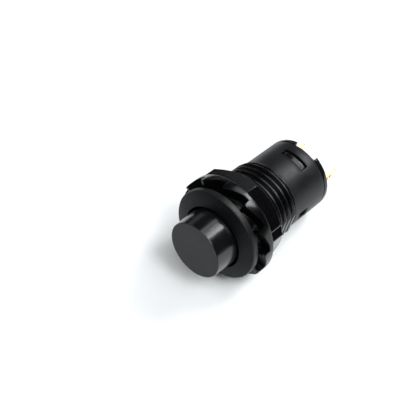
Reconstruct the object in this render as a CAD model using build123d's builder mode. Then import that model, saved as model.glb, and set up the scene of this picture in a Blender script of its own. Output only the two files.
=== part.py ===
from build123d import *
import math
import os

# Round panel-mount push button, 12 mm hole size.
#
# Frame: origin at the centre of the bezel's seating face (the face that lies
# on the panel), +Y along the button's axis from the cap into the panel,
# +Z up, solder lugs at +X and -X, snap-fit windows at +Z and -Z.
# Angles called "theta" are measured about the Y axis from +X towards +Z.
# All sizes in millimetres.

# --- overall axial stations (along Y) ---
cap_front_y = -5.17      # face that the finger presses
bezel_inner_y = -1.55    # front edge of the bezel at its hole
bezel_outer_y = -0.92    # front edge of the bezel at its rim
thread_end_y = 9.92      # last thread groove
barrel_end_y = 17.00     # rear end of the housing
base_end_y = 17.75       # rear face of the base
lug_tip_y = 23.75        # tips of the solder lugs

# --- housing ---
bezel_r = 7.05
hole_r = 4.86            # bore that guides the cap
barrel_r = 5.60
crest_r = 5.97           # M12 thread, crest radius
core_r = 5.34            # M12 x 1 thread, core radius
pitch = 1.00
neck_len = 0.45          # plain neck behind the bezel
flat_x = 5.58            # anti-rotation flat along the thread, distance from the axis
chamber_r = 4.80         # contact chamber
web_front_y = 4.60       # partition that carries the return spring
web_rear_y = 5.60
web_bore_r = 2.48
window_y = (14.00, 15.30)    # snap windows, axial span
window_half = 2.05           # snap windows, half width
side_window_y = (11.20, 13.10)
side_window_half = 0.80

# --- cap ---
cap_r_front = 4.35
cap_r_rear = 4.62
cap_skirt_r = 4.78       # runs in the bore with 0.08 mm clearance
cap_skirt_y = (0.00, 1.30)
cap_hollow_r = 3.75
cap_floor_y = -4.00
boss_r = 2.30
spigot_r = 1.50
boss_end_y = 1.50

# --- plunger ---
stem_r = 2.40            # runs in the web's bore with 0.08 mm clearance
head_r = 3.30
head_y = (5.65, 6.70)
tail_r = 1.20
tail_end_y = 12.60

# --- springs ---
return_mean_r = 3.00
return_wire = 0.45
contact_mean_r = 1.90
contact_wire = 0.30

# --- contacts ---
bridge_y = (11.20, 11.60)
bridge_half_len = 3.70
bridge_half_wid = 1.30
contact_x = 2.60
contact_r = 0.60
moving_face_y = 12.10
fixed_face_y = 13.90
shank_r = 0.30

# --- base and solder lugs ---
plug_front_y = 14.80
plug_r = 4.78
flange_front_y = 17.10
recess_r = 1.90
recess_end_y = 16.20
notch_half = 1.85
notch_floor_z = 4.55
nose_half = 1.80
lug_x = 3.16
lug_z = -0.83            # both lugs stand to one side of the middle
lug_t = 0.48
lug_half_wid = 0.90
foot_top_z = 0.75        # the foot reaches past the middle, under the contact
wire_hole_y = 22.00
wire_hole_r = 0.48

# --- hex nut with ratchet teeth ---
nut_tip_y = 0.50         # tooth tips, nut run up near the bezel
nut_root_y = 1.50
nut_flange_y = 2.30
nut_rear_y = 5.50
nut_flange_r = 7.88
nut_af = 13.54           # across flats
nut_bore_r = 6.04        # clears the thread's crests by 0.07 mm
nut_corner_deg = 25.0    # a hex corner's theta
tooth_count = 12
tooth_step_deg = 16.5    # a tooth's steep face
tooth_inner_r = 6.30

os.makedirs("parts", exist_ok=True)


def across(y):
    """Plane square to the button's axis at station y, looking rearwards."""
    return Plane(origin=(0, y, 0), x_dir=(1, 0, 0), z_dir=(0, 1, 0))


# ---------------------------------------------------------------- housing
groove_half_top = 0.44 * pitch
groove_half_root = 0.44 * pitch - (crest_r - core_r) * math.tan(math.radians(30))
groove_centres = [thread_end_y - k * pitch for k in range(int((thread_end_y - neck_len - groove_half_top) / pitch) + 1)]
groove_centres = sorted(c for c in groove_centres if c - groove_half_top > neck_len)

outer = [
    (hole_r, bezel_inner_y + 0.06),
    (hole_r + 0.06, bezel_inner_y),
    (bezel_r - 0.14, bezel_outer_y - 0.04),
    (bezel_r, bezel_outer_y + 0.10),
    (bezel_r, -0.06),
    (bezel_r - 0.06, 0.0),
    (crest_r, 0.0),
]
for c in groove_centres[:-1]:
    outer += [
        (crest_r, c - groove_half_top),
        (core_r, c - groove_half_root),
        (core_r, c + groove_half_root),
        (crest_r, c + groove_half_top),
    ]
last = groove_centres[-1]
outer += [
    (crest_r, last - groove_half_top),
    (core_r, last - groove_half_root),
    (core_r, last + groove_half_root),
    (barrel_r, last + groove_half_root + 0.16),
    (barrel_r, barrel_end_y - 0.08),
    (barrel_r - 0.08, barrel_end_y),
    (chamber_r, barrel_end_y),
    (chamber_r, web_rear_y),
    (web_bore_r, web_rear_y),
    (web_bore_r, web_front_y),
    (hole_r, web_front_y),
]

with BuildPart() as housing:
    # bezel, threaded bushing, barrel and inner web as one moulding
    with BuildSketch(Plane.XY):
        with BuildLine():
            Polyline(*outer, close=True)
        make_face()
    revolve(axis=Axis.Y)
    # anti-rotation flat along the thread
    with BuildSketch(across(0.0)):
        with Locations((flat_x + 1.0, 0)):
            Rectangle(2.0, 9.0)
    extrude(amount=last + groove_half_root, mode=Mode.SUBTRACT)
    # snap windows, top and bottom
    with BuildSketch(across(window_y[0])):
        with Locations((0, 5.3), (0, -5.3)):
            Rectangle(2 * window_half, 2.6)
    extrude(amount=window_y[1] - window_y[0], mode=Mode.SUBTRACT)
    # side windows
    with BuildSketch(across(side_window_y[0])):
        with Locations((5.3, 0), (-5.3, 0)):
            Rectangle(2.2, 2 * side_window_half)
    extrude(amount=side_window_y[1] - side_window_y[0], mode=Mode.SUBTRACT)

# -------------------------------------------------------------------- cap
with BuildPart() as cap:
    with BuildSketch(Plane.XY):
        with BuildLine():
            Polyline(
                (0, cap_front_y),
                (cap_r_front - 0.10, cap_front_y),
                (cap_r_front, cap_front_y + 0.10),
                (cap_r_rear, cap_skirt_y[0] - 0.15),
                (cap_skirt_r, cap_skirt_y[0]),
                (cap_skirt_r, cap_skirt_y[1]),
                (cap_hollow_r, cap_skirt_y[1]),
                (cap_hollow_r, cap_floor_y),
                (boss_r, cap_floor_y),
                (boss_r, boss_end_y),
                (spigot_r, boss_end_y),
                (spigot_r, cap_floor_y + 0.30),
                (0, cap_floor_y + 0.30),
                close=True,
            )
        make_face()
    revolve(axis=Axis.Y)

# ---------------------------------------------------------------- plunger
with BuildPart() as plunger:
    with BuildSketch(Plane.XY):
        with BuildLine():
            Polyline(
                (0, cap_floor_y + 0.60),
                (spigot_r - 0.2, cap_floor_y + 0.60),
                (spigot_r, cap_floor_y + 0.80),
                (spigot_r, boss_end_y),
                (stem_r, boss_end_y),
                (stem_r, head_y[0]),
                (head_r, head_y[0]),
                (head_r, head_y[1]),
                (tail_r, head_y[1]),
                (tail_r, tail_end_y - 0.25),
                (tail_r - 0.25, tail_end_y),
                (0, tail_end_y),
                close=True,
            )
        make_face()
    revolve(axis=Axis.Y)


# ---------------------------------------------------------------- springs
def coil(part_name, y0, y1, mean_r, wire, turns):
    """Round-wire compression spring between two seats."""
    rise = (y1 - y0) - wire - 0.04
    with BuildPart() as spring:
        with BuildLine():
            path = Helix(
                pitch=rise / turns,
                height=rise,
                radius=mean_r,
                center=(0, y0 + wire / 2 + 0.02, 0),
                direction=(0, 1, 0),
            )
        with BuildSketch(Plane(origin=path @ 0, z_dir=path % 0)):
            Circle(wire / 2)
        sweep(path=path, is_frenet=True)
    spring.part.label = part_name
    return spring


return_spring = coil("return_spring", cap_floor_y, web_front_y, return_mean_r, return_wire, 6)
contact_spring = coil("contact_spring", head_y[1], bridge_y[0], contact_mean_r, contact_wire, 5)

# --------------------------------------------------------- contact bridge
with BuildPart() as contact_bridge:
    with BuildSketch(across(bridge_y[0])):
        RectangleRounded(2 * bridge_half_len, 2 * bridge_half_wid, 0.6)
        Circle(tail_r + 0.08, mode=Mode.SUBTRACT)
        with Locations((contact_x, 0), (-contact_x, 0)):
            Circle(shank_r, mode=Mode.SUBTRACT)
    extrude(amount=bridge_y[1] - bridge_y[0])


def moving_contact(part_name, x):
    """Silver rivet through the bridge, domed head to the rear."""
    with BuildPart() as rivet:
        with BuildSketch(Plane(origin=(x, 0, 0), x_dir=(1, 0, 0), z_dir=(0, 0, 1))):
            with BuildLine():
                Polyline(
                    (0, bridge_y[0] - 0.20),
                    (0.45, bridge_y[0] - 0.20),
                    (0.45, bridge_y[0]),
                    (shank_r, bridge_y[0]),
                    (shank_r, bridge_y[1]),
                    (contact_r, bridge_y[1]),
                    (contact_r, moving_face_y - 0.22),
                    (contact_r - 0.22, moving_face_y - 0.04),
                    (0.15, moving_face_y),
                    (0, moving_face_y),
                    close=True,
                )
            make_face()
        revolve(axis=Axis((x, 0, 0), (0, 1, 0)))
    rivet.part.label = part_name
    return rivet


def fixed_contact(part_name, x):
    """Silver rivet through the lug's foot, domed head to the front."""
    with BuildPart() as rivet:
        with BuildSketch(Plane(origin=(x, 0, 0), x_dir=(1, 0, 0), z_dir=(0, 0, 1))):
            with BuildLine():
                Polyline(
                    (0, fixed_face_y),
                    (0.15, fixed_face_y),
                    (contact_r - 0.22, fixed_face_y + 0.04),
                    (contact_r, fixed_face_y + 0.22),
                    (contact_r, plug_front_y - lug_t),
                    (shank_r, plug_front_y - lug_t),
                    (shank_r, plug_front_y),
                    (0, plug_front_y),
                    close=True,
                )
            make_face()
        revolve(axis=Axis((x, 0, 0), (0, 1, 0)))
    rivet.part.label = part_name
    return rivet


moving_contact_right = moving_contact("moving_contact_right", contact_x)
moving_contact_left = moving_contact("moving_contact_left", -contact_x)
fixed_contact_right = fixed_contact("fixed_contact_right", contact_x)
fixed_contact_left = fixed_contact("fixed_contact_left", -contact_x)

# -------------------------------------------------------- bridge retainer
with BuildPart() as bridge_retainer:
    with BuildSketch(across(bridge_y[1])):
        Circle(1.70)
        Circle(tail_r, mode=Mode.SUBTRACT)
    extrude(amount=0.45)
    chamfer(bridge_retainer.faces().sort_by(Axis.Y)[-1].outer_wire().edges(), 0.12)

# ------------------------------------------------------------------- base
# snap noses: a ramped ring trimmed to the width of the windows
with BuildPart() as noses:
    with BuildSketch(Plane.XY):
        with BuildLine():
            Polyline(
                (3.90, 13.70),
                (4.60, 13.70),
                (4.74, 13.95),
                (5.42, 14.80),
                (5.42, 14.98),
                (3.90, 14.98),
                close=True,
            )
        make_face()
    revolve(axis=Axis.Y)
    with BuildSketch(across(13.0)):
        with Locations((0, 5.0), (0, -5.0)):
            Rectangle(2 * nose_half, 4.0)
    extrude(amount=3.0, mode=Mode.INTERSECT)

with BuildPart() as base:
    with BuildSketch(across(plug_front_y)):
        Circle(plug_r)
    extrude(amount=base_end_y - plug_front_y)
    with BuildSketch(across(flange_front_y)):
        Circle(barrel_r)
    extrude(amount=base_end_y - flange_front_y)
    chamfer(base.faces().sort_by(Axis.Y)[-1].outer_wire().edges(), 0.12)
    # clearance for the plunger's tail
    with BuildSketch(across(plug_front_y)):
        Circle(recess_r)
    extrude(amount=recess_end_y - plug_front_y, mode=Mode.SUBTRACT)
    # slots for the solder lugs
    with BuildSketch(across(plug_front_y)):
        with Locations((lug_x, -lug_z), (-lug_x, -lug_z)):
            Rectangle(lug_t, 2 * lug_half_wid)
    extrude(amount=base_end_y - plug_front_y, mode=Mode.SUBTRACT)
    # notches in the flange over the snap noses
    with BuildSketch(across(barrel_end_y)):
        with Locations((0, notch_floor_z + 1.0), (0, -notch_floor_z - 1.0)):
            Rectangle(2 * notch_half, 2.0)
    extrude(amount=base_end_y - barrel_end_y, mode=Mode.SUBTRACT)
    add(noses.part)


# ------------------------------------------------------------ solder lugs
def lug(part_name, side):
    """Flat lug through the base, with a foot bent inwards that carries the fixed contact."""
    with BuildPart() as terminal:
        with BuildSketch(Plane(origin=(side * lug_x - lug_t / 2, 0, 0), x_dir=(0, 1, 0), z_dir=(1, 0, 0))):
            with BuildLine():
                Polyline(
                    (plug_front_y - lug_t, lug_z - lug_half_wid),
                    (lug_tip_y - 0.50, lug_z - lug_half_wid),
                    (lug_tip_y - 0.15, lug_z - 0.70),
                    (lug_tip_y, lug_z - 0.42),
                    (lug_tip_y, lug_z + 0.42),
                    (lug_tip_y - 0.15, lug_z + 0.70),
                    (lug_tip_y - 0.50, lug_z + lug_half_wid),
                    (plug_front_y - lug_t, lug_z + lug_half_wid),
                    close=True,
                )
            make_face()
            with Locations((wire_hole_y, lug_z)):
                Circle(wire_hole_r, mode=Mode.SUBTRACT)
        extrude(amount=lug_t)
        with BuildSketch(across(plug_front_y - lug_t)):
            with Locations((side * (1.95 + lug_x + lug_t / 2) / 2, -(foot_top_z + lug_z - lug_half_wid) / 2)):
                Rectangle(lug_x + lug_t / 2 - 1.95, foot_top_z - lug_z + lug_half_wid)
        extrude(amount=lug_t)
        with BuildSketch(across(plug_front_y - lug_t)):
            with Locations((side * contact_x, 0)):
                Circle(shank_r)
        extrude(amount=lug_t, mode=Mode.SUBTRACT)
    terminal.part.label = part_name
    return terminal


terminal_right = lug("terminal_right", 1)
terminal_left = lug("terminal_left", -1)

# -------------------------------------------------------------------- nut
corner_r = nut_af / 2 / math.cos(math.radians(30))
with BuildPart() as hex_nut:
    with BuildSketch(across(nut_flange_y - 0.1)):
        RegularPolygon(corner_r, 6, rotation=-nut_corner_deg)
    extrude(amount=nut_rear_y - nut_flange_y + 0.1)
    # cone that takes the corners off at the rear
    with BuildSketch(Plane.XY):
        with BuildLine():
            Polyline(
                (0, nut_flange_y - 0.2),
                (9.0, nut_flange_y - 0.2),
                (9.0, 3.14),
                (6.64, nut_rear_y),
                (0, nut_rear_y),
                close=True,
            )
        make_face()
    revolve(axis=Axis.Y, mode=Mode.INTERSECT)
    # round flange
    with BuildSketch(Plane.XY):
        with BuildLine():
            Polyline(
                (0, nut_tip_y),
                (nut_flange_r - 0.25, nut_tip_y),
                (nut_flange_r - 0.05, nut_tip_y + 0.20),
                (nut_flange_r, nut_flange_y - 0.20),
                (nut_flange_r - 0.12, nut_flange_y),
                (0, nut_flange_y),
                close=True,
            )
        make_face()
    revolve(axis=Axis.Y)
    # ratchet teeth on the face towards the bezel
    for k in range(tooth_count):
        mid = 16.5
        theta = math.radians(tooth_step_deg + 360.0 / tooth_count * k - mid)
        radial = Vector(math.cos(theta), 0, math.sin(theta))
        tang = Vector(-math.sin(theta), 0, math.cos(theta))
        profile = [(13.5, -0.5), (13.5, nut_tip_y), (-5.5, nut_root_y - 0.05), (-13.5, nut_root_y), (-13.5, -0.5)]
        for r in (tooth_inner_r, 8.4):
            with BuildSketch(Plane(origin=radial * r, x_dir=tang, z_dir=-radial)):
                with BuildLine():
                    Polyline(*[(r * math.tan(math.radians(a)), y) for a, y in profile], close=True)
                make_face()
        loft(ruled=True, mode=Mode.SUBTRACT)
    # bore over the bushing
    with BuildSketch(across(0.0)):
        Circle(nut_bore_r)
    extrude(amount=nut_rear_y + 1.0, mode=Mode.SUBTRACT)

housing.part.label = "housing"
cap.part.label = "cap"
plunger.part.label = "plunger"
contact_bridge.part.label = "contact_bridge"
bridge_retainer.part.label = "bridge_retainer"
base.part.label = "base"
hex_nut.part.label = "hex_nut"

for made in (
    housing,
    cap,
    plunger,
    return_spring,
    contact_spring,
    contact_bridge,
    moving_contact_left,
    moving_contact_right,
    bridge_retainer,
    base,
    terminal_left,
    terminal_right,
    fixed_contact_left,
    fixed_contact_right,
    hex_nut,
):
    export_step(made.part, "parts/" + made.part.label + ".step")
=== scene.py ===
import math

import bmesh
import bpy
import numpy as np
from mathutils import Matrix, Vector


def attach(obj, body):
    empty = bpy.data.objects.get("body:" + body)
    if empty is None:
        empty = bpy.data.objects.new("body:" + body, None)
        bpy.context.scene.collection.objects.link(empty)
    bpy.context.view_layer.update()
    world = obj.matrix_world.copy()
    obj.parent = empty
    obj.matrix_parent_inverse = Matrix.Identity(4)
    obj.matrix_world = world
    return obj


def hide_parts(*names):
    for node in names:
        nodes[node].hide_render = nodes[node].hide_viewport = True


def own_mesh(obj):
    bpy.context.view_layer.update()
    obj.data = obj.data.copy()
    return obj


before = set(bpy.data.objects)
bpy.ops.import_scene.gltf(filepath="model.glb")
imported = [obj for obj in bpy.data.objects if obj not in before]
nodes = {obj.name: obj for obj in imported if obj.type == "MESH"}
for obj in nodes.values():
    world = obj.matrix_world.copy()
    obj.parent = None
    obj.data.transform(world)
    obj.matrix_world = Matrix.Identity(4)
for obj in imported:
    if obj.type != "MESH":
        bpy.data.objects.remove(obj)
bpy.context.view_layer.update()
MM = 0.001
TAU = 2 * math.pi

# =====================================================================
# mesh helpers, all lengths in millimetres until the mesh is written
# =====================================================================


def write_mesh(name, verts, faces, smooth=32.0, merge=1e-4, recalc=True):
    """A mesh object from millimetre points, with doubled points welded and its normals turned outward."""
    mesh = bpy.data.meshes.new(name)
    mesh.from_pydata([tuple(float(c) * MM for c in v) for v in verts], [], faces)
    bm = bmesh.new()
    bm.from_mesh(mesh)
    if merge:
        bmesh.ops.remove_doubles(bm, verts=bm.verts, dist=merge * MM)
        bmesh.ops.dissolve_degenerate(bm, dist=merge * MM * 0.1, edges=bm.edges)
    loose = [v for v in bm.verts if not v.link_faces]
    bmesh.ops.delete(bm, geom=loose, context="VERTS")
    if recalc:
        bmesh.ops.recalc_face_normals(bm, faces=bm.faces)
    bm.to_mesh(mesh)
    bm.free()
    obj = bpy.data.objects.new(name, mesh)
    bpy.context.scene.collection.objects.link(obj)
    smooth_by_angle(obj, smooth)
    return obj


def smooth_by_angle(obj, degrees):
    mesh = obj.data
    mesh.polygons.foreach_set("use_smooth", [True] * len(mesh.polygons))
    mesh.set_sharp_from_angle(angle=math.radians(degrees))


def fillet(points, n=4):
    """Rounds the corners of a closed outline. Each point is (a, b, radius)."""
    out = []
    count = len(points)
    for i in range(count):
        p = np.array(points[i][:2], float)
        rad = points[i][2] if len(points[i]) > 2 else 0.0
        a = np.array(points[i - 1][:2], float)
        b = np.array(points[(i + 1) % count][:2], float)
        da, db = a - p, b - p
        la, lb = np.linalg.norm(da), np.linalg.norm(db)
        if rad <= 0 or la < 1e-9 or lb < 1e-9:
            out.append(tuple(p))
            continue
        da, db = da / la, db / lb
        cos = float(np.clip(da @ db, -1, 1))
        half = math.acos(cos) / 2
        if half > math.radians(89.0):
            out.append(tuple(p))
            continue
        t = min(rad / math.tan(half), 0.49 * la, 0.49 * lb)
        r = t * math.tan(half)
        bis = da + db
        bis /= np.linalg.norm(bis)
        c = p + bis * (r / math.sin(half))
        s, e = p + da * t - c, p + db * t - c
        turn = math.pi - 2 * half
        sign = 1.0 if s[0] * e[1] - s[1] * e[0] > 0 else -1.0
        for k in range(n + 1):
            w = sign * turn * k / n
            out.append(
                (
                    c[0] + s[0] * math.cos(w) - s[1] * math.sin(w),
                    c[1] + s[0] * math.sin(w) + s[1] * math.cos(w),
                )
            )
    return out


def lathe(name, outline, seg=192, n=4, smooth=32.0, closed=True, phase=0.0):
    """Turns a closed (radius, y) outline about the Y axis. Points on the axis weld to one."""
    prof = fillet(outline, n)
    rows = len(prof)
    verts, faces = [], []
    for i in range(seg):
        a = phase + TAU * i / seg
        for r, y in prof:
            r = max(r, 0.0)
            verts.append((r * math.cos(a), y, r * math.sin(a)))
    for i in range(seg):
        k = (i + 1) % seg
        for j in range(rows if closed else rows - 1):
            m = (j + 1) % rows
            if prof[j][0] < 1e-9 and prof[m][0] < 1e-9:
                continue
            faces.append((i * rows + j, i * rows + m, k * rows + m, k * rows + j))
    return write_mesh(name, verts, faces, smooth)


def box_mesh(name, x0, x1, y0, y1, z0, z1):
    v = [(x, y, z) for x in (x0, x1) for y in (y0, y1) for z in (z0, z1)]
    f = [(0, 1, 3, 2), (4, 6, 7, 5), (0, 4, 5, 1), (2, 3, 7, 6), (0, 2, 6, 4), (1, 5, 7, 3)]
    return write_mesh(name, v, f)


def boolean(obj, other, mode):
    """Joins or cuts obj with other, and removes other."""
    mod = obj.modifiers.new("b", "BOOLEAN")
    mod.operation = mode
    mod.solver = "EXACT"
    mod.object = other
    apply_modifiers(obj)
    bpy.data.objects.remove(other)


def apply_modifiers(obj):
    bpy.context.view_layer.update()
    dg = bpy.context.evaluated_depsgraph_get()
    mesh = bpy.data.meshes.new_from_object(obj.evaluated_get(dg))
    old = obj.data
    obj.modifiers.clear()
    obj.data = mesh
    bpy.data.meshes.remove(old)


def bevel(obj, width, segments=2, angle=35.0, smooth=32.0):
    """Rounds the sharp edges of a low-poly piece, as moulding and stamping do."""
    bm = bmesh.new()
    bm.from_mesh(obj.data)
    bmesh.ops.remove_doubles(bm, verts=bm.verts, dist=2e-3 * MM)
    bmesh.ops.dissolve_limit(bm, angle_limit=math.radians(0.3), verts=bm.verts, edges=bm.edges)
    bm.to_mesh(obj.data)
    bm.free()
    mod = obj.modifiers.new("bevel", "BEVEL")
    mod.width = width * MM
    mod.segments = segments
    mod.limit_method = "ANGLE"
    mod.angle_limit = math.radians(angle)
    mod.use_clamp_overlap = True
    mod.miter_outer = "MITER_ARC"
    apply_modifiers(obj)
    smooth_by_angle(obj, smooth)


def area_normals(obj):
    """Lets the large faces set the shading normals, so that a flat stays flat up to its rounded edges."""
    mod = obj.modifiers.new("normals", "WEIGHTED_NORMAL")
    mod.mode = "FACE_AREA"
    mod.weight = 50
    mod.keep_sharp = True
    apply_modifiers(obj)


def tube(name, path, radius, seg=16):
    """Round wire along a list of points, with rounded-off ends."""
    path = np.array(path, float)
    n = len(path)
    tang = np.gradient(path, axis=0)
    tang /= np.linalg.norm(tang, axis=1)[:, None]
    verts, faces = [], []
    up = np.array([0.0, 1.0, 0.0])
    rings = []
    caps = [(-0.95, 0.30), (-0.70, 0.71), (-0.30, 0.95)]
    stations = [(0, off * radius, k) for off, k in caps] + [(i, 0.0, 1.0) for i in range(n)]
    stations += [(n - 1, -off * radius, k) for off, k in reversed(caps)]
    for i, off, k in stations:
        t = tang[i]
        u = up - t * (up @ t)
        u /= np.linalg.norm(u)
        w = np.cross(t, u)
        c = path[i] + t * (off if i == n - 1 or off < 0 else 0.0)
        ring = []
        for s in range(seg):
            a = TAU * s / seg
            ring.append(len(verts))
            verts.append(c + (u * math.cos(a) + w * math.sin(a)) * radius * k)
        rings.append(ring)
    for a, b in zip(rings, rings[1:]):
        for s in range(seg):
            m = (s + 1) % seg
            faces.append((a[s], a[m], b[m], b[s]))
    faces.append(tuple(reversed(rings[0])))
    faces.append(tuple(rings[-1]))
    return write_mesh(name, verts, faces, 60.0, merge=0)


# =====================================================================
# materials
# =====================================================================


def nodes_of(name):
    mat = bpy.data.materials.new(name)
    mat.use_nodes = True
    nt = mat.node_tree
    nt.nodes.clear()
    out = nt.nodes.new("ShaderNodeOutputMaterial")
    bsdf = nt.nodes.new("ShaderNodeBsdfPrincipled")
    nt.links.new(bsdf.outputs["BSDF"], out.inputs["Surface"])
    coord = nt.nodes.new("ShaderNodeTexCoord")
    return mat, nt, bsdf, coord


def noise(nt, coord, scale, detail=2.0, rough=0.5, distortion=0.0):
    n = nt.nodes.new("ShaderNodeTexNoise")
    n.inputs["Scale"].default_value = scale
    n.inputs["Detail"].default_value = detail
    n.inputs["Roughness"].default_value = rough
    n.inputs["Distortion"].default_value = distortion
    nt.links.new(coord, n.inputs["Vector"])
    return n.outputs["Fac"]


def ramp(nt, value, lo, hi, a, b):
    """value from lo..hi to a..b."""
    m = nt.nodes.new("ShaderNodeMapRange")
    m.inputs["From Min"].default_value = lo
    m.inputs["From Max"].default_value = hi
    m.inputs["To Min"].default_value = a
    m.inputs["To Max"].default_value = b
    nt.links.new(value, m.inputs["Value"])
    return m.outputs["Result"]


def mix_colour(nt, fac, a, b):
    m = nt.nodes.new("ShaderNodeMix")
    m.data_type = "RGBA"
    nt.links.new(fac, m.inputs[0])
    m.inputs[6].default_value = (*a, 1)
    m.inputs[7].default_value = (*b, 1)
    return m.outputs[2]


def math_node(nt, op, a, b):
    m = nt.nodes.new("ShaderNodeMath")
    m.operation = op
    for i, x in enumerate((a, b)):
        if isinstance(x, (int, float)):
            m.inputs[i].default_value = x
        else:
            nt.links.new(x, m.inputs[i])
    return m.outputs[0]


def bumps(nt, bsdf, layers):
    """Stacks bump layers: (height output, distance in mm, strength)."""
    normal = None
    for height, dist, strength in layers:
        b = nt.nodes.new("ShaderNodeBump")
        b.inputs["Distance"].default_value = dist * MM
        b.inputs["Strength"].default_value = strength
        nt.links.new(height, b.inputs["Height"])
        if normal is not None:
            nt.links.new(normal, b.inputs["Normal"])
        normal = b.outputs["Normal"]
    nt.links.new(normal, bsdf.inputs["Normal"])


def moulded_plastic(name, dark, light, rough, grain=0.11, grain_depth=0.004, swirl=1.0, specular=0.5, wear=0.0):
    """Moulded thermoplastic: faint flow marks in colour and gloss, fine spark-eroded grain, a few scuffs."""
    mat, nt, bsdf, coord = nodes_of(name)
    obj = coord.outputs["Object"]
    cloud = noise(nt, obj, 420.0, 3.0, 0.55, 0.6)
    fine = noise(nt, obj, 1.0 / (grain * MM), 2.0, 0.6)
    speck = noise(nt, obj, 2600.0, 4.0, 0.7)
    tone = math_node(nt, "ADD", math_node(nt, "MULTIPLY", cloud, 0.7), math_node(nt, "MULTIPLY", fine, 0.3))
    colour = mix_colour(nt, ramp(nt, tone, 0.35, 0.65, 0.0, 1.0), dark, light)
    if wear > 0:
        geo = nt.nodes.new("ShaderNodeNewGeometry")
        edge = ramp(nt, geo.outputs["Pointiness"], 0.53, 0.60, 0.0, 1.0)
        worn = math_node(nt, "MULTIPLY", edge, ramp(nt, speck, 0.40, 0.62, 0.0, wear))
        m = nt.nodes.new("ShaderNodeMix")
        m.data_type = "RGBA"
        nt.links.new(worn, m.inputs[0])
        nt.links.new(colour, m.inputs[6])
        m.inputs[7].default_value = (light[0] * 2.6, light[1] * 2.6, light[2] * 2.6, 1)
        colour = m.outputs[2]
    nt.links.new(colour, bsdf.inputs["Base Color"])
    r0, r1 = rough
    patches = math_node(nt, "ADD", math_node(nt, "MULTIPLY", cloud, 0.55), math_node(nt, "MULTIPLY", speck, 0.45))
    nt.links.new(ramp(nt, patches, 0.36, 0.64, r0, r1), bsdf.inputs["Roughness"])
    bsdf.inputs["IOR"].default_value = 1.5
    bsdf.inputs["Specular IOR Level"].default_value = specular
    wave = noise(nt, obj, 300.0, 2.0, 0.5)
    bumps(nt, bsdf, [(wave, 0.012 * swirl, 0.6), (fine, grain_depth, 0.9)])
    return mat


def metal(name, dark, light, rough, drawn=None, lay=0.004, scale=5200.0):
    """Plated or drawn metal: streaks along one axis, a little tarnish and handling haze."""
    mat, nt, bsdf, coord = nodes_of(name)
    obj = coord.outputs["Object"]
    mp = nt.nodes.new("ShaderNodeMapping")
    mp.inputs["Scale"].default_value = drawn or (1.0, 1.0, 1.0)
    nt.links.new(obj, mp.inputs["Vector"])
    streak = noise(nt, mp.outputs["Vector"], scale, 3.0, 0.6)
    haze = noise(nt, obj, 900.0, 3.0, 0.6, 0.4)
    tone = math_node(nt, "ADD", math_node(nt, "MULTIPLY", streak, 0.45), math_node(nt, "MULTIPLY", haze, 0.55))
    nt.links.new(mix_colour(nt, ramp(nt, tone, 0.34, 0.66, 0.0, 1.0), dark, light), bsdf.inputs["Base Color"])
    bsdf.inputs["Metallic"].default_value = 1.0
    nt.links.new(ramp(nt, tone, 0.34, 0.66, rough[0], rough[1]), bsdf.inputs["Roughness"])
    bumps(nt, bsdf, [(streak, lay, 0.6)])
    return mat


M = {
    "bezel": moulded_plastic("housing_satin", (0.0028, 0.0028, 0.0033), (0.0044, 0.0044, 0.0050), (0.38, 0.48), grain_depth=0.006, specular=0.31, wear=0.20),
    "bezel_front": moulded_plastic("housing_front_matte", (0.0020, 0.0021, 0.0026), (0.0031, 0.0032, 0.0039), (0.46, 0.56), grain=0.08, specular=0.15, wear=0.20),
    "thread": moulded_plastic("thread_semi_gloss", (0.0014, 0.0014, 0.0018), (0.0024, 0.0024, 0.0029), (0.20, 0.28), grain=0.14, grain_depth=0.0007, swirl=0.3, specular=0.40, wear=0.05),
    # partly real, partly painted light: the cap's face has a real matte finish, and its much lighter colour than the
    # cap's side stands in for the light falling on the face
    "cap_top_lit": moulded_plastic("cap_top_painted_light", (0.0198, 0.0201, 0.0230), (0.0262, 0.0265, 0.0300), (0.56, 0.66), grain=0.07, grain_depth=0.004, swirl=0.3, specular=0.30),
    "cap_side": moulded_plastic("cap_side_gloss", (0.0025, 0.0025, 0.0030), (0.0038, 0.0038, 0.0043), (0.16, 0.22), grain=0.16, grain_depth=0.0006, swirl=0.25, specular=0.62, wear=0.05),
    "nut": moulded_plastic("nut_semi_gloss", (0.0008, 0.0008, 0.0011), (0.0014, 0.0014, 0.0018), (0.17, 0.24), grain=0.15, grain_depth=0.0006, swirl=0.5, specular=0.36, wear=0.05),
    # painted shade: a darker, duller copy of the nut's plastic for the ramps that lie in the bezel's shadow
    "nut_gap_shade": moulded_plastic("nut_gap_painted_shade", (0.0006, 0.0006, 0.0008), (0.0010, 0.0010, 0.0013), (0.34, 0.44), grain=0.12, grain_depth=0.003, swirl=0.6, specular=0.08, wear=0.10),
    "base": moulded_plastic("base_satin", (0.0028, 0.0028, 0.0033), (0.0044, 0.0044, 0.0050), (0.16, 0.24), grain=0.14, grain_depth=0.0015, swirl=0.4, specular=0.42, wear=0.15),
    "plunger": moulded_plastic("acetal_natural", (0.62, 0.59, 0.52), (0.70, 0.68, 0.61), (0.34, 0.46), grain=0.2, grain_depth=0.001),
    "steel": metal("spring_wire", (0.42, 0.42, 0.43), (0.60, 0.60, 0.61), (0.22, 0.36), (1.0, 0.2, 1.0)),
    "bronze": metal("rolled_bronze", (0.58, 0.34, 0.16), (0.75, 0.50, 0.28), (0.26, 0.42), (0.15, 1.0, 1.0)),
    "silver": metal("contact_silver", (0.62, 0.60, 0.56), (0.82, 0.80, 0.77), (0.24, 0.40)),
    "gold": metal("gold_plating", (0.87, 0.67, 0.32), (0.97, 0.84, 0.54), (0.12, 0.22), (1.0, 0.12, 1.0), lay=0.0015),
}


def finish_piece(obj, body, mats, replaces=()):
    obj.data.materials.clear()
    for m in mats:
        obj.data.materials.append(M[m])
    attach(obj, body)
    if replaces:
        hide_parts(*replaces)
    return obj


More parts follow.
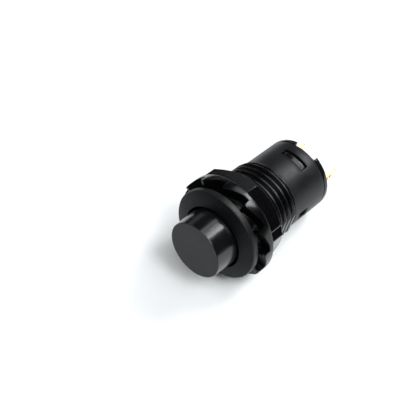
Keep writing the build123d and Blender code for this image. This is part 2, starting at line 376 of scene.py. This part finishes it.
# =====================================================================
# housing: bezel, threaded bushing with a flat, barrel with windows
# =====================================================================
BEZEL_R, HOLE_R, BARREL_R, CREST_R, ROOT_R, PITCH = 7.05, 4.86, 5.60, 5.97, 5.34, 1.0
REAR_Y = 17.00
FLAT_X = 5.58
THREAD_Y0, THREAD_Y1 = 0.42, 10.28
CHAMBER_R = 4.80
WIN_Y, WIN_HALF = (14.00, 15.30), 2.05
SIDE_Y, SIDE_HALF = (11.20, 13.10), 0.80
LIP = 0.07  # rounding of the windows' edges


def smoothstep(t):
    t = min(max(t, 0.0), 1.0)
    return t * t * (3 - 2 * t)


def thread_profile():
    """One pitch of the thread as (share of the pitch, radius), from the middle of a root to the next."""
    crest_half, root_half = 0.075, 0.105
    pts = []
    flank = 0.5 - crest_half - root_half
    # root, rounded
    for k in range(0, 3):
        pts.append((root_half * k / 3.0, ROOT_R + 0.012 * (k / 3.0) ** 2))
    for k in range(0, 4):
        t = k / 3.0
        pts.append((root_half + flank * (0.02 + 0.96 * t), ROOT_R + 0.03 + (CREST_R - ROOT_R - 0.07) * t))
    for k in range(1, 4):
        pts.append((0.5 - crest_half * (1 - k / 3.0) ** 1.3, CREST_R - 0.04 * (1 - k / 3.0) ** 2))
    back = [(1.0 - s, r) for s, r in reversed(pts[1:-1])]
    return pts + back


def build_housing():
    # columns, as angles at the barrel's outside
    win = math.degrees(math.asin(WIN_HALF / BARREL_R))
    win_lip = math.degrees(math.asin((WIN_HALF + LIP) / BARREL_R))
    win_in = math.degrees(math.asin(WIN_HALF / CHAMBER_R))
    side = math.degrees(math.asin(SIDE_HALF / BARREL_R))
    side_lip = math.degrees(math.asin((SIDE_HALF + LIP) / BARREL_R))
    side_in = math.degrees(math.asin(SIDE_HALF / CHAMBER_R))
    flat = math.degrees(math.acos(FLAT_X / CREST_R))
    # spans between fixed columns, each filled evenly
    fixed = [0.0, side_lip, flat - 0.6, flat, flat + 0.8]
    fixed += [90 - win_lip, 90.0, 90 + win_lip, 180 - side_lip, 180.0, 180 + side_lip]
    fixed += [270 - win_lip, 270.0, 270 + win_lip, 360 - flat - 0.8, 360 - flat, 360 - flat + 0.6, 360 - side_lip, 360.0]
    angles = []
    for a, b in zip(fixed, fixed[1:]):
        fine = b <= 26 or a >= 334
        count = max(1, int(math.ceil((b - a) / (0.75 if fine else 1.6))))
        angles += [a + (b - a) * k / count for k in range(count)]
    angles.append(360.0)
    angles = np.array(angles)
    knots_out = [0, side_lip, 90 - win_lip, 90, 90 + win_lip, 180 - side_lip, 180, 180 + side_lip, 270 - win_lip, 270, 270 + win_lip, 360 - side_lip, 360]
    knots_in = [0, side_in, 90 - win_in, 90, 90 + win_in, 180 - side_in, 180, 180 + side_in, 270 - win_in, 270, 270 + win_in, 360 - side_in, 360]
    inner_angles = np.interp(angles, knots_out, knots_in)
    cols = len(angles)

    front = fillet(
        [
            (HOLE_R, 3.0, 0.0),
            (HOLE_R, -1.55, 0.06),
            (6.93, -0.945, 0.05),
            (BEZEL_R, -0.78, 0.08),
            (BEZEL_R, 0.0, 0.10),
            (CREST_R - 0.02, 0.0, 0.06),
            (CREST_R, THREAD_Y0 - 0.05, 0.0),
        ],
        4,
    )[:-1]
    # the seat meets the neck in a small inside corner
    rows = []  # (kind, radius, y or (turn, share), inside)
    for r, y in front:
        rows.append(("ring", r, y, r <= HOLE_R + 1e-6 and y > -1.3))
    rows.append(("ring", CREST_R, 0.10, False))
    rows.append(("ring", CREST_R, THREAD_Y0, False))
    prof = thread_profile()
    first = len(rows)
    for turn in range(-1, 12):
        for share, r in prof:
            rows.append(("helix", r, turn + share, False))
    last = len(rows)
    rows.append(("ring", BARREL_R, THREAD_Y1, False))
    barrel = [THREAD_Y1 + 0.5, SIDE_Y[0] - LIP, (SIDE_Y[0] + SIDE_Y[1]) / 2, SIDE_Y[1] + LIP, WIN_Y[0] - LIP]
    barrel += [(WIN_Y[0] + WIN_Y[1]) / 2, WIN_Y[1] + LIP, 16.2, REAR_Y - 0.12]
    for y in barrel:
        rows.append(("ring", BARREL_R, y, False))
    for a in (30, 60, 90):
        rows.append(("ring", BARREL_R - 0.10 + 0.10 * math.cos(math.radians(a)), REAR_Y - 0.10 + 0.10 * math.sin(math.radians(a)), False))
    for a in (0, 45, 90):
        rows.append(("ring", CHAMBER_R + 0.08 - 0.08 * math.sin(math.radians(a)), REAR_Y - 0.08 + 0.08 * math.cos(math.radians(a)), True))
    inner = [16.2, WIN_Y[1], (WIN_Y[0] + WIN_Y[1]) / 2, WIN_Y[0], SIDE_Y[1], (SIDE_Y[0] + SIDE_Y[1]) / 2, SIDE_Y[0]]
    for y in inner:
        rows.append(("ring", CHAMBER_R, y, True))
    for r, y in ((CHAMBER_R, 5.60), (2.56, 5.60), (2.48, 5.52), (2.48, 4.68), (2.56, 4.60), (HOLE_R, 4.60)):
        rows.append(("ring", r, y, True))
    total = len(rows)

    def index_of(y, inside):
        for j, (kind, r, v, ins) in enumerate(rows):
            if kind == "ring" and ins == inside and abs(v - y) < 1e-6 and (inside or j > last - 1):
                return j
        raise ValueError(y)

    verts = np.zeros((cols, total, 3))
    # a crest stands 6.42 mm behind the seat, at theta 62
    lead0 = 0.92 + PITCH * 62.0 / 360.0
    for i in range(cols):
        a_out, a_in = math.radians(angles[i]), math.radians(inner_angles[i])
        for j, (kind, r, v, inside) in enumerate(rows):
            a = a_in if inside else a_out
            if kind == "helix":
                y = lead0 + PITCH * v - PITCH * angles[i] / 360.0
                if y <= THREAD_Y0 + 0.004:
                    y, r = THREAD_Y0, CREST_R
                elif y >= THREAD_Y1 - 0.004:
                    y, r = THREAD_Y1, BARREL_R
                else:
                    w0 = smoothstep((y - THREAD_Y0) / 0.50)
                    r = CREST_R + (r - CREST_R) * w0
                    w1 = smoothstep((THREAD_Y1 - y) / 0.34)
                    r = BARREL_R + (r - BARREL_R) * w1
            else:
                y = v
            x, z = r * math.cos(a), r * math.sin(a)
            if not inside and 0.0 < y < 10.14:
                limit = FLAT_X if y < 10.02 else FLAT_X + (y - 10.02) / 0.12 * 0.04
                if x > limit and r < CREST_R + 0.01:
                    x = limit
            verts[i, j] = (x, y, z)

    flat_verts = verts.reshape(-1, 3).tolist()

    def vid(i, j):
        return i * total + (j % total)

    holes = []
    for name, centre, half_deg, yy in (
        ("top", 90.0, win_lip, WIN_Y),
        ("bottom", 270.0, win_lip, WIN_Y),
        ("left", 180.0, side_lip, SIDE_Y),
    ):
        i0 = int(np.argmin(abs(angles - (centre - half_deg))))
        i1 = int(np.argmin(abs(angles - (centre + half_deg))))
        holes.append((list(range(i0, i1 + 1)), yy))
    i1 = int(np.argmin(abs(angles - side_lip)))
    i0 = int(np.argmin(abs(angles - (360 - side_lip))))
    holes.append((list(range(i0, cols)) + list(range(1, i1 + 1)), SIDE_Y))

    skip_out, skip_in = set(), set()
    walls = []
    for columns, yy in holes:
        jo0, jo1 = index_of(yy[0] - LIP, False), index_of(yy[1] + LIP, False)
        ji1, ji0 = index_of(yy[1], True), index_of(yy[0], True)
        pairs = list(zip(columns, columns[1:]))
        for p, q in pairs:
            left = p if q != 1 else 0  # the last column and the first are one
            for j in range(jo0, jo1):
                skip_out.add((left, j))
            for j in range(ji1, ji0):
                skip_in.add((left, j))
        # rings round the window: outside lip, wall top, inside edge
        ny = jo1 - jo0
        ring_out, ring_in, kinds = [], [], []
        inner_rows = list(range(ji0, ji1 - 1, -1))  # same order as the outer rows, front to rear
        assert len(inner_rows) == ny + 1, (len(inner_rows), ny)
        for i in columns:
            ring_out.append(vid(i, jo0)); ring_in.append(vid(i, inner_rows[0]))
        for k in range(1, ny + 1):
            ring_out.append(vid(columns[-1], jo0 + k)); ring_in.append(vid(columns[-1], inner_rows[k]))
        for i in reversed(columns[:-1]):
            ring_out.append(vid(i, jo1)); ring_in.append(vid(i, inner_rows[-1]))
        for k in range(ny - 1, 0, -1):
            ring_out.append(vid(columns[0], jo0 + k)); ring_in.append(vid(columns[0], inner_rows[k]))
        # the wall top lies a lip's depth below the outside, at the window's true size
        centre_y = (yy[0] + yy[1]) / 2
        half_y = (yy[1] - yy[0]) / 2
        top1, top2 = [], []
        o = np.array([flat_verts[v] for v in ring_out])
        across_axis = 0 if abs(o[:, 2]).max() > abs(o[:, 0]).max() - 1e-9 and abs(o[:, 2]).min() > 4 else 2
        half_a = WIN_HALF if across_axis == 0 else SIDE_HALF
        for step, store in ((0.5, top1), (1.0, top2)):
            for v in ring_out:
                x, y, z = flat_verts[v]
                w = (x, z)[0] if across_axis == 0 else z
                shrink_a = half_a + LIP * (1 - math.sin(step * math.pi / 2))
                shrink_y = half_y + LIP * (1 - math.sin(step * math.pi / 2))
                w = max(-shrink_a, min(shrink_a, w))
                ny_ = max(-shrink_y, min(shrink_y, y - centre_y)) + centre_y
                depth = LIP * (1 - math.cos(step * math.pi / 2))
                rr = BARREL_R - depth
                other = math.sqrt(max(rr * rr - w * w, 0.0))
                if across_axis == 0:
                    p = (w, ny_, math.copysign(other, z))
                else:
                    p = (math.copysign(other, x), ny_, w)
                store.append(len(flat_verts))
                flat_verts.append(p)
        count = len(ring_out)
        for a, b in ((ring_out, top1), (top1, top2), (top2, ring_in)):
            for k in range(count):
                m = (k + 1) % count
                walls.append((a[k], a[m], b[m], b[k]))

    faces = []
    for i in range(cols - 1):
        for j in range(total):
            if (i, j) in skip_out or (i, j) in skip_in:
                continue
            faces.append((vid(i, j), vid(i, j + 1), vid(i + 1, j + 1), vid(i + 1, j)))
    faces += walls
    return write_mesh("housing_shell", flat_verts, faces, 34.0, merge=2e-3)


housing = build_housing()
finish_piece(housing, "housing", ["bezel", "bezel_front", "thread"], ["housing"])
for poly in housing.data.polygons:
    # the bezel's front face is spark-eroded, everything behind it is straight off a smoother steel
    if poly.center.y < -0.5 * MM and poly.normal.y < -0.8:
        poly.material_index = 1
    elif 0.0 < poly.center.y < 10.2 * MM:
        poly.material_index = 2

# =====================================================================
# cap: flat face, slightly drafted side, skirt that runs in the bore
# =====================================================================
cap = lathe(
    "press_cap",
    [
        (0.0, -5.13),
        (3.0, -5.14, 2.0),
        (4.25, -5.17, 0.10),
        (4.352, -5.07, 0.12),
        (4.61, -0.17, 0.05),
        (4.78, 0.00, 0.05),
        (4.78, 1.30, 0.08),
        (3.75, 1.30, 0.06),
        (3.75, -4.00, 0.25),
        (2.30, -4.00, 0.10),
        (2.30, 1.50, 0.08),
        (1.50, 1.50, 0.08),
        (1.50, -3.70, 0.05),
        (0.0, -3.70),
    ],
    seg=224,
)
finish_piece(cap, "button", ["cap_side", "cap_top_lit"], ["cap"])
# the face gets the matte copy of the cap's plastic whose lighter colour is painted light
for poly in cap.data.polygons:
    c = poly.center
    if c.y < -5.10 * MM and math.hypot(c.x, c.z) < 4.30 * MM:
        poly.material_index = 1

# =====================================================================
# hex nut with a toothed flange
# =====================================================================
NUT_BORE, NUT_FLANGE_R, NUT_AF, NUT_CORNER = 6.04, 7.879, 13.54, 25.0
TOOTH_STEP, TOOTH_INNER, TIP_Y, ROOT_Y, FLANGE_Y, NUT_REAR = 16.5, 6.30, 0.50, 1.50, 2.30, 5.50
PARTING = (33.6, 213.6)


def hex_radius(deg, corner_round=0.22):
    """Radius of a hexagon with rounded corners, at an angle."""
    apothem = NUT_AF / 2
    d = (deg - NUT_CORNER) % 60.0
    d = min(d, 60.0 - d)  # from the nearest corner
    # the corner's arc: centre on the corner's line
    corner = apothem / math.cos(math.radians(30))
    c = corner - corner_round / math.cos(math.radians(30))
    tangent = math.degrees(math.atan2(c * math.sin(math.radians(30)) * 0 + corner_round * math.sin(math.radians(30)), c + corner_round * math.cos(math.radians(30))))
    if d >= tangent:
        return apothem / math.cos(math.radians(30.0 - d))
    a = math.radians(d)
    return c * math.cos(a) + math.sqrt(max(corner_round**2 - (c * math.sin(a)) ** 2, 0.0))


def build_nut():
    # the toothed edge as (angle back from a steep face, y), with rounded corners
    arc = 7.4 * math.radians(1.0)  # mm per degree where the rounding is measured
    outline = [
        (-0.6 * arc, ROOT_Y, 0.05),
        (0.0, TIP_Y, 0.07),
        (3.0 * arc, TIP_Y, 0.10),
        (22.0 * arc, ROOT_Y - 0.05, 0.4),
        (29.4 * arc, ROOT_Y, 0.05),
    ]
    # rounded as an open line between two more points, which are dropped again
    pts = fillet([(-2.5 * arc, ROOT_Y, 0.0)] + outline + [(30.0 * arc, TIP_Y, 0.0)], 4)[1:-1]
    cols = {}
    for k in range(12):
        for s, y in pts:
            u = s / arc
            if u < 0 - 0.95 or u > 29.5:
                continue
            theta = (TOOTH_STEP + 30 * k - u) % 360.0
            cols[round(theta, 4)] = None
    tooth = sorted((s / arc, y) for s, y in pts if -0.95 <= s / arc <= 29.5)
    tu = np.array([t[0] for t in tooth])
    ty = np.array([t[1] for t in tooth])

    def tooth_y(theta):
        u = (TOOTH_STEP - theta) % 30.0
        if u > 29.4:
            u -= 30.0
        return float(np.interp(u, tu, ty))

    for c in PARTING:
        for d in (-0.9, -0.45, -0.2, 0.0, 0.2, 0.45, 0.9):
            cols[round((c + d) % 360.0, 4)] = None
    for k in range(6):
        c = NUT_CORNER + 60 * k
        for d in (-0.95, -0.7, -0.47, -0.23, 0.0, 0.23, 0.47, 0.7, 0.95, -1.6, 1.6):
            cols[round((c + d) % 360.0, 4)] = None
    known = sorted(cols)
    filled = []
    for a, b in zip(known, known[1:] + [known[0] + 360.0]):
        n = max(1, int(math.ceil((b - a) / 1.5)))
        filled += [(a + (b - a) * k / n) % 360.0 for k in range(n)]
    merged = []
    for a in sorted(set(round(x, 4) for x in filled)):
        if not merged or a - merged[-1] > 0.02:
            merged.append(a)
    angles = merged
    verts, faces = [], []
    rows = None
    for deg in angles:
        hx = hex_radius(deg)
        for c in PARTING:  # flash line left by the mould's halves
            hx += 0.035 * max(0.0, 1.0 - abs(deg - c) / 0.45)
        ty_ = tooth_y(deg)
        cone_y = 5.50 - (hx - 6.64)
        tip_out = NUT_FLANGE_R - 0.10
        outline = [
            (NUT_BORE, TIP_Y, 0.06),
            (TOOTH_INNER, TIP_Y, 0.05) if ty_ > TIP_Y + 0.12 else (TOOTH_INNER, TIP_Y, 0.0),
            (TOOTH_INNER + 0.02, ty_, 0.05) if ty_ > TIP_Y + 0.12 else (TOOTH_INNER + 0.02, ty_, 0.0),
            (NUT_FLANGE_R - 0.03, ty_, 0.10),
            (NUT_FLANGE_R, FLANGE_Y, 0.13),
            (hx + 0.02, FLANGE_Y, 0.16),
            (hx, cone_y, 0.10),
            (6.64, NUT_REAR, 0.10),
            (NUT_BORE, NUT_REAR, 0.16),
        ]
        fixed = []
        for p in outline:
            fixed.append(p if p[2] > 0 else (p[0], p[1], 1e-4))
        prof = fillet(fixed, 3)
        # a corner too flat to round keeps its place with repeated points
        if len(prof) != 4 * len(fixed):
            prof = []
            for i in range(len(fixed)):
                trio = [fixed[i - 1], fixed[i], fixed[(i + 1) % len(fixed)]]
                part = fillet([(trio[0][0], trio[0][1], 0), trio[1], (trio[2][0], trio[2][1], 0)], 3)[1:-1]
                prof += part if len(part) == 4 else [tuple(fixed[i][:2])] * 4
        rows = len(prof)
        a = math.radians(deg)
        for r, y in prof:
            verts.append((r * math.cos(a), y, r * math.sin(a)))
    n = len(angles)
    for i in range(n):
        k = (i + 1) % n
        for j in range(rows):
            m = (j + 1) % rows
            faces.append((i * rows + j, i * rows + m, k * rows + m, k * rows + j))
    return write_mesh("hex_nut_toothed", verts, faces, 34.0, merge=1e-3)


nut = build_nut()


def gate_mark(deg, lateral, y, radius=0.17, proud=0.07):
    """Stub left where the moulding was broken off its runner, as a small lathe on a facet."""
    a = math.radians(deg)
    n = np.array([math.cos(a), 0.0, math.sin(a)])
    t = np.array([-math.sin(a), 0.0, math.cos(a)])
    u = np.array([0.0, 1.0, 0.0])
    prof = [(radius * 1.15, -0.12), (radius * 1.1, 0.0), (radius, proud * 0.5), (radius * 0.8, proud), (radius * 0.35, proud * 0.8)]
    seg = 18
    verts, faces = [], []
    for k in range(seg):
        w = TAU * k / seg
        for j, (r, h) in enumerate(prof):
            wob = 1.0 + 0.08 * math.sin(3 * w + 0.7)
            p = n * (NUT_AF / 2 + h) + t * (lateral + r * wob * math.cos(w)) + u * (y + r * wob * math.sin(w))
            verts.append(tuple(p))
    m = len(prof)
    for k in range(seg):
        q = (k + 1) % seg
        for j in range(m - 1):
            faces.append((k * m + j, k * m + j + 1, q * m + j + 1, q * m + j))
    faces.append(tuple(k * m for k in range(seg)))
    faces.append(tuple(k * m + m - 1 for k in reversed(range(seg))))
    return write_mesh("gate", verts, faces)


boolean(nut, gate_mark(55.0, -0.61, 4.70), "UNION")
smooth_by_angle(nut, 34.0)
area_normals(nut)
finish_piece(nut, "nut", ["nut", "nut_gap_shade"], ["hex_nut"])
for poly in nut.data.polygons:
    # the ramps between the teeth take a darker, duller copy of the nut's plastic, painted shade for the bezel's
    # shadow over the gap
    if -0.985 < poly.normal.y < -0.25 and math.hypot(poly.center.x, poly.center.z) < 7.86 * MM:
        poly.material_index = 1

# =====================================================================
# base: plug, flange with two notches, snap noses, slots for the lugs
# =====================================================================
LUG_X, LUG_Z = 3.16, -0.83
base = lathe(
    "terminal_base",
    [
        (1.90, 14.80),
        (4.78, 14.80),
        (4.78, 17.10),
        (5.60, 17.10),
        (5.60, 17.75),
        (0.0, 17.75),
        (0.0, 16.20),
        (1.90, 16.20),
    ],
    seg=144,
)
for s in (1, -1):
    z0, z1 = sorted((s * 4.55, s * 6.2))
    boolean(base, box_mesh("cut", -1.85, 1.85, 17.0, 18.0, z0, z1), "DIFFERENCE")
for s in (1, -1):
    boolean(base, box_mesh("cut", s * LUG_X - 0.29, s * LUG_X + 0.29, 14.5, 18.0, LUG_Z - 0.96, LUG_Z + 0.96), "DIFFERENCE")


def nose(sign):
    """Ramped snap nose, a slice of a ring as wide as the window lets through."""
    prof = [(3.90, 13.70), (4.60, 13.70), (4.74, 13.95), (5.42, 14.80), (5.42, 14.98), (3.90, 14.98)]
    verts, faces = [], []
    steps = 17
    for k in range(steps):
        x = -1.80 + 3.60 * k / (steps - 1)
        for r, y in prof:
            verts.append((x, y, sign * math.sqrt(r * r - x * x)))
    m = len(prof)
    for k in range(steps - 1):
        for j in range(m):
            q = (j + 1) % m
            faces.append((k * m + j, k * m + q, (k + 1) * m + q, (k + 1) * m + j))
    faces.append(tuple(range(m)))
    faces.append(tuple((steps - 1) * m + j for j in range(m)))
    return write_mesh("nose", verts, faces)


for s in (1, -1):
    boolean(base, nose(s), "UNION")
bevel(base, 0.03, 2, 38.0)
area_normals(base)
finish_piece(base, "housing", ["base"], ["base"])

# =====================================================================
# solder lugs: stamped strip with a wire hole and a foot bent inwards
# =====================================================================


def lug(name, side):
    t, half, tip, foot_y = 0.48, 0.90, 23.75, 14.32
    x0 = side * LUG_X
    n = 32
    hole_r, hole_y, reach = 0.48, 22.00, 0.75
    # the outline round the hole, as rings of equal count, so that the faces stay even
    outer = []
    for k in range(n):
        a = TAU * k / n
        c, s = math.cos(a), math.sin(a)
        scale = min(half / abs(s) if abs(s) > 1e-9 else 1e9, reach / abs(c) if abs(c) > 1e-9 else 1e9)
        outer.append((hole_y + c * scale, s * scale))
    verts, faces = [], []

    def ring(points, x):
        ids = []
        for y, z in points:
            ids.append(len(verts))
            verts.append((x, y, z + LUG_Z))
        return ids

    hole = [(hole_y + hole_r * math.cos(TAU * k / n), hole_r * math.sin(TAU * k / n)) for k in range(n)]
    xa, xb = x0 - side * t / 2, x0 + side * t / 2
    loops = [[ring(outer, x), ring(hole, x)] for x in (xa, xb)]
    for o, h in loops:
        for k in range(n):
            m = (k + 1) % n
            faces.append((o[k], o[m], h[m], h[k]))
    for k in range(n):
        m = (k + 1) % n
        faces.append((loops[0][1][k], loops[0][1][m], loops[1][1][m], loops[1][1][k]))
        p, q = outer[k], outer[m]
        if abs(abs(p[1]) - half) < 1e-6 and abs(abs(q[1]) - half) < 1e-6 and p[1] * q[1] > 0:
            faces.append((loops[0][0][k], loops[0][0][m], loops[1][0][m], loops[1][0][k]))
    # tip beyond the hole
    y_hi, y_lo = hole_y + reach, hole_y - reach
    tip_pts = [(y_hi, -half), (tip - 0.50, -half), (tip - 0.30, -0.81), (tip - 0.14, -0.68), (tip - 0.03, -0.48), (tip, -0.30)]
    tip_pts += [(y, -z) for y, z in reversed(tip_pts)]
    right_edge = sorted([p for p in outer if abs(p[0] - y_hi) < 1e-6], key=lambda p: p[1])
    left_edge = sorted([p for p in outer if abs(p[0] - y_lo) < 1e-6], key=lambda p: p[1])
    shank = [(y_lo, half), (foot_y, half), (foot_y, -half), (y_lo, -half)]
    for x in (xa, xb):
        faces.append(tuple(ring(tip_pts + [p for p in reversed(right_edge)], x)))
        faces.append(tuple(ring(shank + left_edge, x)))
    for line in (tip_pts, shank):
        a_ids, b_ids = ring(line, xa), ring(line, xb)
        for k in range(len(line) - 1):
            faces.append((a_ids[k], a_ids[k + 1], b_ids[k + 1], b_ids[k]))
    # the corners of the hole's ring lie on the shank's and the tip's corners
    for y, mates in ((y_hi, right_edge), (y_lo, left_edge)):
        for sign in (1, -1):
            end = max(mates, key=lambda p: sign * p[1])
            if abs(abs(end[1]) - half) > 1e-6:
                near = min((p for p in outer if abs(p[1] - sign * half) < 1e-6), key=lambda p: abs(p[0] - y))
                corner = (y, sign * half)
                for x in (xa, xb):
                    faces.append(tuple(ring([near, corner, end], x)))
                i, j = ring([near, corner], xa), ring([near, corner], xb)
                faces.append((i[0], i[1], j[1], j[0]))
    obj = write_mesh(name, verts, faces, 32.0, merge=1e-3)
    x_lo, x_hi = sorted((side * 1.95, xb))
    boolean(obj, box_mesh("foot", x_lo, x_hi, foot_y, foot_y + t, LUG_Z - half, 0.75), "UNION")
    bevel(obj, 0.05, 3, 40.0)
    area_normals(obj)
    return obj


for side, word in ((1, "right"), (-1, "left")):
    piece = lug("lug_" + word, side)
    finish_piece(piece, "housing", ["gold"], ["terminal_" + word])

# =====================================================================
# springs: wound wire with closed ends
# =====================================================================


def spring(name, y0, y1, mean_r, wire, active, start=0.0):
    a, b = y0 + wire / 2 + 0.02, y1 - wire / 2 - 0.02
    closed = 0.9  # turns lying close at each end
    rise = (b - a) - 2 * closed * wire * 1.03
    turns = active + 2 * closed
    steps = int(turns * 40)
    path = []
    for k in range(steps + 1):
        t = turns * k / steps
        if t < closed:
            y = a + t * wire * 1.03
        elif t > closed + active:
            y = b - (turns - t) * wire * 1.03
        else:
            y = a + closed * wire * 1.03 + rise * (t - closed) / active
        ang = start - TAU * t
        path.append((mean_r * math.cos(ang), y, mean_r * math.sin(ang)))
    return tube(name, path, wire / 2, 14)


ret = spring("return_coil", -4.00, 4.60, 3.00, 0.45, 5.0)
finish_piece(ret, "housing", ["steel"], ["return_spring"])
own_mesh(ret)
con = spring("contact_coil", 6.70, 11.20, 1.90, 0.30, 4.0, 1.0)
finish_piece(con, "button", ["steel"], ["contact_spring"])
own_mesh(con)

# =====================================================================
# plunger
# =====================================================================
plunger = lathe(
    "plunger_stem",
    [
        (0.0, -3.40),
        (1.30, -3.40, 0.08),
        (1.50, -3.20, 0.08),
        (1.50, 1.50, 0.0),
        (2.40, 1.50, 0.10),
        (2.40, 5.65, 0.06),
        (3.30, 5.65, 0.12),
        (3.30, 6.70, 0.16),
        (1.20, 6.70, 0.10),
        (1.20, 12.35, 0.08),
        (0.95, 12.60, 0.10),
        (0.0, 12.60),
    ],
    seg=96,
)
finish_piece(plunger, "button", ["plunger"], ["plunger"])

# carried-over pieces inside the barrel
for node, key in (
    ("bridge_retainer", "steel"),
    ("contact_bridge", "bronze"),
    ("moving_contact_left", "silver"),
    ("moving_contact_right", "silver"),
    ("fixed_contact_left", "silver"),
    ("fixed_contact_right", "silver"),
):
    o = nodes[node]
    o.data.materials.clear()
    o.data.materials.append(M[key])
    smooth_by_angle(o, 30.0)

# =====================================================================
# floor, camera and light
# =====================================================================
FLOOR_N = Vector((-0.146344, -0.153100, 0.979213)).normalized()
FLOOR_D = -8.1475  # mm along the normal


def build_floor(radius=90.0, rings=40, seg=128):
    u = FLOOR_N.cross(Vector((0, 1, 0))).normalized()
    v = FLOOR_N.cross(u)
    centre = FLOOR_N * FLOOR_D
    verts = [tuple(centre)]
    faces = []
    for k in range(1, rings + 1):
        r = radius * k / rings
        for s in range(seg):
            a = TAU * s / seg
            verts.append(tuple(centre + u * (r * math.cos(a)) + v * (r * math.sin(a))))
    for s in range(seg):
        m = (s + 1) % seg
        faces.append((0, 1 + s, 1 + m))
    for k in range(1, rings):
        for s in range(seg):
            m = (s + 1) % seg
            a, b = 1 + (k - 1) * seg, 1 + k * seg
            faces.append((a + s, b + s, b + m, a + m))
    obj = write_mesh("studio_floor", verts, faces, 60.0, recalc=False)
    if obj.data.polygons[0].normal.dot(FLOOR_N) < 0:
        obj.data.flip_normals()
    mat, nt, bsdf, coord = nodes_of("floor_pale")
    grain = noise(nt, coord.outputs["Object"], 300.0, 3.0)
    nt.links.new(mix_colour(nt, grain, (0.86, 0.86, 0.86), (0.90, 0.90, 0.90)), bsdf.inputs["Base Color"])
    nt.links.new(ramp(nt, grain, 0.3, 0.7, 0.85, 0.95), bsdf.inputs["Roughness"])
    bsdf.inputs["Specular IOR Level"].default_value = 0.1
    obj.data.materials.append(mat)
    return obj


floor = build_floor()

cam_data = bpy.data.cameras.new("camera")
cam = bpy.data.objects.new("camera", cam_data)
bpy.context.scene.collection.objects.link(cam)
RIGHT = Vector((0.711992, 0.672488, 0.202057))
UP = Vector((-0.627631, 0.480443, 0.61258))
BACK = Vector((0.314875, -0.562969, 0.764146))
m = Matrix((RIGHT, UP, BACK)).transposed().to_4x4()
m.translation = Vector((34.8969, -70.4925, 98.2783)) * MM
cam.matrix_world = m
cam_data.lens = 81.0
cam_data.sensor_width = 36.0
cam_data.clip_start, cam_data.clip_end = 0.005, 3.0
bpy.context.scene.camera = cam


def area(name, direction, distance, size, power, colour=(0.95, 0.985, 1.0), target=(0, 0.008, 0)):
    """Soft box that faces the object from a direction."""
    data = bpy.data.lights.new(name, "AREA")
    data.shape = "RECTANGLE"
    data.size, data.size_y = size
    data.energy = power
    data.color = colour
    obj = bpy.data.objects.new(name, data)
    bpy.context.scene.collection.objects.link(obj)
    d = Vector(direction).normalized()
    obj.location = Vector(target) + d * distance
    obj.rotation_mode = "QUATERNION"
    obj.rotation_quaternion = d.to_track_quat("Z", "Y")
    return obj


def floor_dir(right, back, up):
    """A direction given along the picture's right, away from the camera along the floor, and up from the floor."""
    r = (RIGHT - FLOOR_N * RIGHT.dot(FLOOR_N)).normalized()
    b = FLOOR_N.cross(r).normalized()
    if b.dot(-BACK) < 0:
        b = -b
    return r * right + b * back + FLOOR_N * up


def compass(azimuth, elevation):
    """Direction to a light: azimuth from the picture's right towards the far side, elevation above the floor."""
    a, e = math.radians(azimuth), math.radians(elevation)
    return floor_dir(math.cos(a) * math.cos(e), math.sin(a) * math.cos(e), math.sin(e))


# the key is a small box inside a large one, so that its reflections fade out at their edges
area("key_core", compass(315, 56), 0.5, (0.16, 0.16), 0.80)
area("key_soft", compass(315, 56), 0.52, (0.34, 0.34), 1.30)
area("top", compass(228, 66), 0.5, (0.26, 0.26), 0.85)
area("right", compass(0, 62), 0.5, (0.22, 0.22), 0.14)
area("front", compass(270, 58), 0.5, (0.26, 0.26), 0.14)
area("right_back", compass(28, 45), 0.5, (0.20, 0.20), 1.45)
area("right_back_soft", compass(51, 46), 0.52, (0.26, 0.26), 0.46)
area("left_back", compass(130, 36), 0.5, (0.26, 0.26), 0.22)
area("low_back", compass(96, 18), 0.5, (0.32, 0.16), 0.054)

world = bpy.data.worlds.new("world")
bpy.context.scene.world = world
world.use_nodes = True
bg = world.node_tree.nodes["Background"]
bg.inputs["Color"].default_value = (1, 1, 1, 1)
bg.inputs["Strength"].default_value = 0.03

bpy.context.scene.view_settings.view_transform = "Standard"
bpy.context.scene.view_settings.look = "None"
bpy.context.scene.view_settings.exposure = 0.0
bpy.context.scene.view_settings.gamma = 1.0
